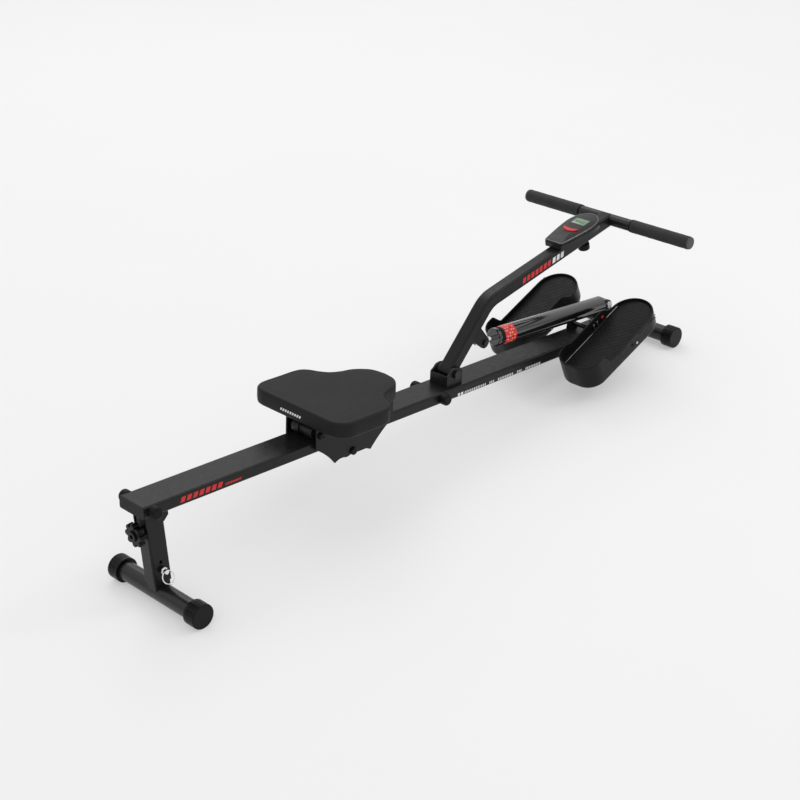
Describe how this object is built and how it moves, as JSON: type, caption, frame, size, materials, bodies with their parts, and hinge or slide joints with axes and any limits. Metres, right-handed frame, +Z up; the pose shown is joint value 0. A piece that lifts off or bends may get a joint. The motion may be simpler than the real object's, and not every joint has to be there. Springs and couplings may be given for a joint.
{
  "type": "rowing machine",
  "caption": "Rower with a sloping rail, rolling saddle seat, pulled handle arm, hydraulic cylinder, tilting foot tubs and a small monitor.",
  "frame": {"origin": "on the floor, under the middle of the machine's bounding box", "axes": "+X forward, from the seat towards the pedals and handlebar; +Y to the rower's left; +Z up"},
  "size_m": [1.7173, 0.525, 0.4091],
  "materials": {
    "frame_paint": "satin black powder coat",
    "black_plastic": "moulded black plastic",
    "pedal_plastic": "textured black plastic",
    "bed_rubber": "quilted black rubber",
    "bumper_rubber": "solid black rubber",
    "grip_foam": "closed-cell black foam",
    "plug_grey": "light grey plastic",
    "seat_vinyl": "grained black vinyl over foam",
    "plywood": "plain plywood",
    "bright_steel": "zinc plated steel",
    "black_steel": "black oxide steel",
    "chrome_plate": "polished chrome plate",
    "nylon": "dark nylon",
    "cylinder_gloss": "glossy black enamel",
    "display": "grey-green display window",
    "button_red": "red plastic key",
    "circuit_board": "green circuit board with metal cell"
  },
  "bodies": {
    "frame": {"main_rail": "frame_paint", "rail_end_caps": "black_plastic", "rear_leg": "frame_paint", "leg_bracket": "frame_paint", "leg_bolt": "black_steel", "knob_spacer": "black_plastic", "front_stabiliser": "frame_paint", "front_foot_caps": "black_plastic", "front_saddle": "frame_paint", "bumpers": "bumper_rubber", "arm_bracket": "frame_paint", "arm_pivot_bolt": "black_steel", "cylinder_bracket": "frame_paint", "cylinder_bolt": "bright_steel", "pedal_axle": "bright_steel", "pedal_axle_mount": "frame_paint"},
    "star_knob": {"star_knob": "black_plastic", "star_knob_stud": "bright_steel"},
    "lock_pin": {"lock_pin": "chrome_plate"},
    "lock_pin_ring": {"lock_pin_ring": "chrome_plate"},
    "rear_foot": {"foot_stem": "frame_paint", "rear_stabiliser": "frame_paint", "rear_foot_caps": "black_plastic"},
    "seat_carriage": {"seat_cushion": "seat_vinyl", "seat_board": "plywood", "carriage_bridge": "frame_paint", "carriage_plate_left": "frame_paint", "carriage_plate_right": "frame_paint", "seat_screws": "bright_steel", "roller_bolts": "black_steel", "roller_spacers": "black_steel"},
    "rear_roller": {"rear_roller": "nylon"},
    "front_roller": {"front_roller": "nylon"},
    "lower_roller": {"lower_roller": "nylon"},
    "handle_arm": {"handle_arm": "frame_paint", "pivot_sleeve": "frame_paint", "pivot_bushes": "nylon", "cylinder_lug": "frame_paint", "lug_bolt": "bright_steel", "handlebar": "frame_paint", "grip_left": "grip_foam", "grip_right": "grip_foam", "grip_plugs": "plug_grey", "monitor_case": "black_plastic", "monitor_cover": "black_plastic", "monitor_screen": "display", "monitor_electronics": "circuit_board"},
    "monitor_button": {"monitor_button": "button_red"},
    "clamp_knob": {"clamp_knob": "black_plastic"},
    "cylinder": {"cylinder_tube": "cylinder_gloss", "cylinder_head": "cylinder_gloss", "cylinder_base": "cylinder_gloss"},
    "resistance_dial": {"resistance_dial": "black_plastic"},
    "piston_rod": {"piston_rod": "chrome_plate"},
    "pedal_left": {"pedal_left": "pedal_plastic", "pedal_pad_left": "bed_rubber"},
    "pedal_right": {"pedal_right": "pedal_plastic", "pedal_pad_right": "bed_rubber"}
  },
  "joints": [
    {"name": "star_knob_turn", "type": "hinge", "parent": "frame", "child": "star_knob", "pos_m": [-0.85375, 0, 0.1885], "axis": [1, 0, 0], "continuous": true},
    {"name": "lock_pin_pull", "type": "slide", "parent": "frame", "child": "lock_pin", "axis": [0, -1, 0], "range_m": [0, 0.02]},
    {"name": "ring_swing", "type": "hinge", "parent": "lock_pin", "child": "lock_pin_ring", "pos_m": [-0.80775, -0.0315, 0.0908], "axis": [-1, 0, 0], "range_deg": [0, 50]},
    {"name": "foot_height", "type": "slide", "parent": "frame", "child": "rear_foot", "axis": [0, 0, -1], "range_m": [0, 0.018]},
    {"name": "seat_slide", "type": "slide", "parent": "frame", "child": "seat_carriage", "axis": [0.9927, 0, -0.121], "range_m": [-0.425, 0.16]},
    {"name": "rear_roller_turn", "type": "hinge", "parent": "seat_carriage", "child": "rear_roller", "pos_m": [-0.36648, 0, 0.22634], "axis": [0, 1, 0], "range_deg": [-1490, 565]},
    {"name": "front_roller_turn", "type": "hinge", "parent": "seat_carriage", "child": "front_roller", "pos_m": [-0.16795, 0, 0.20214], "axis": [0, 1, 0], "range_deg": [-1490, 565]},
    {"name": "lower_roller_turn", "type": "hinge", "parent": "seat_carriage", "child": "lower_roller", "pos_m": [-0.27542, 0, 0.14694], "axis": [0, 1, 0], "range_deg": [-405, 1065]},
    {"name": "arm_pull", "type": "hinge", "parent": "frame", "child": "handle_arm", "pos_m": [0.09353, 0, 0.18195], "axis": [0, -1, 0], "range_deg": [0, 40]},
    {"name": "monitor_button_press", "type": "slide", "parent": "handle_arm", "child": "monitor_button", "axis": [0.1279, 0, -0.9918], "range_m": [0, 0.0012], "stiffness_N_per_m": 400},
    {"name": "clamp_knob_turn", "type": "hinge", "parent": "handle_arm", "child": "clamp_knob", "pos_m": [0.61065, 0, 0.36286], "axis": [-0.1279, 0, 0.9918], "continuous": true},
    {"name": "cylinder_swing", "type": "hinge", "parent": "frame", "child": "cylinder", "pos_m": [0.70225, 0, 0.1355], "axis": [0, -1, 0], "range_deg": [-7.5, 0]},
    {"name": "resistance_dial_turn", "type": "hinge", "parent": "cylinder", "child": "resistance_dial", "pos_m": [0.50478, 0, 0.16726], "axis": [-0.9873, 0, 0.1588], "range_deg": [0, 330]},
    {"name": "rod_slide", "type": "slide", "parent": "cylinder", "child": "piston_rod", "axis": [-0.9873, 0, 0.1588], "range_m": [0, 0.062]},
    {"name": "left_pedal_tilt", "type": "hinge", "parent": "frame", "child": "pedal_left", "pos_m": [0.60625, 0.124, 0.1065], "axis": [0, 1, 0], "range_deg": [0, 25]},
    {"name": "right_pedal_tilt", "type": "hinge", "parent": "frame", "child": "pedal_right", "pos_m": [0.60625, -0.124, 0.1065], "axis": [0, 1, 0], "range_deg": [0, 25]}
  ],
  "couplings": [
    {"joint": "rear_roller_turn", "follows": "seat_slide", "rad_per_m": 60.976},
    {"joint": "front_roller_turn", "follows": "seat_slide", "rad_per_m": 60.976},
    {"joint": "lower_roller_turn", "follows": "seat_slide", "rad_per_m": -43.478},
    {"joint": "cylinder_swing", "follows": "arm_pull", "ratio": -0.177},
    {"joint": "rod_slide", "follows": "arm_pull", "m_per_rad": 0.0854}
  ]
}
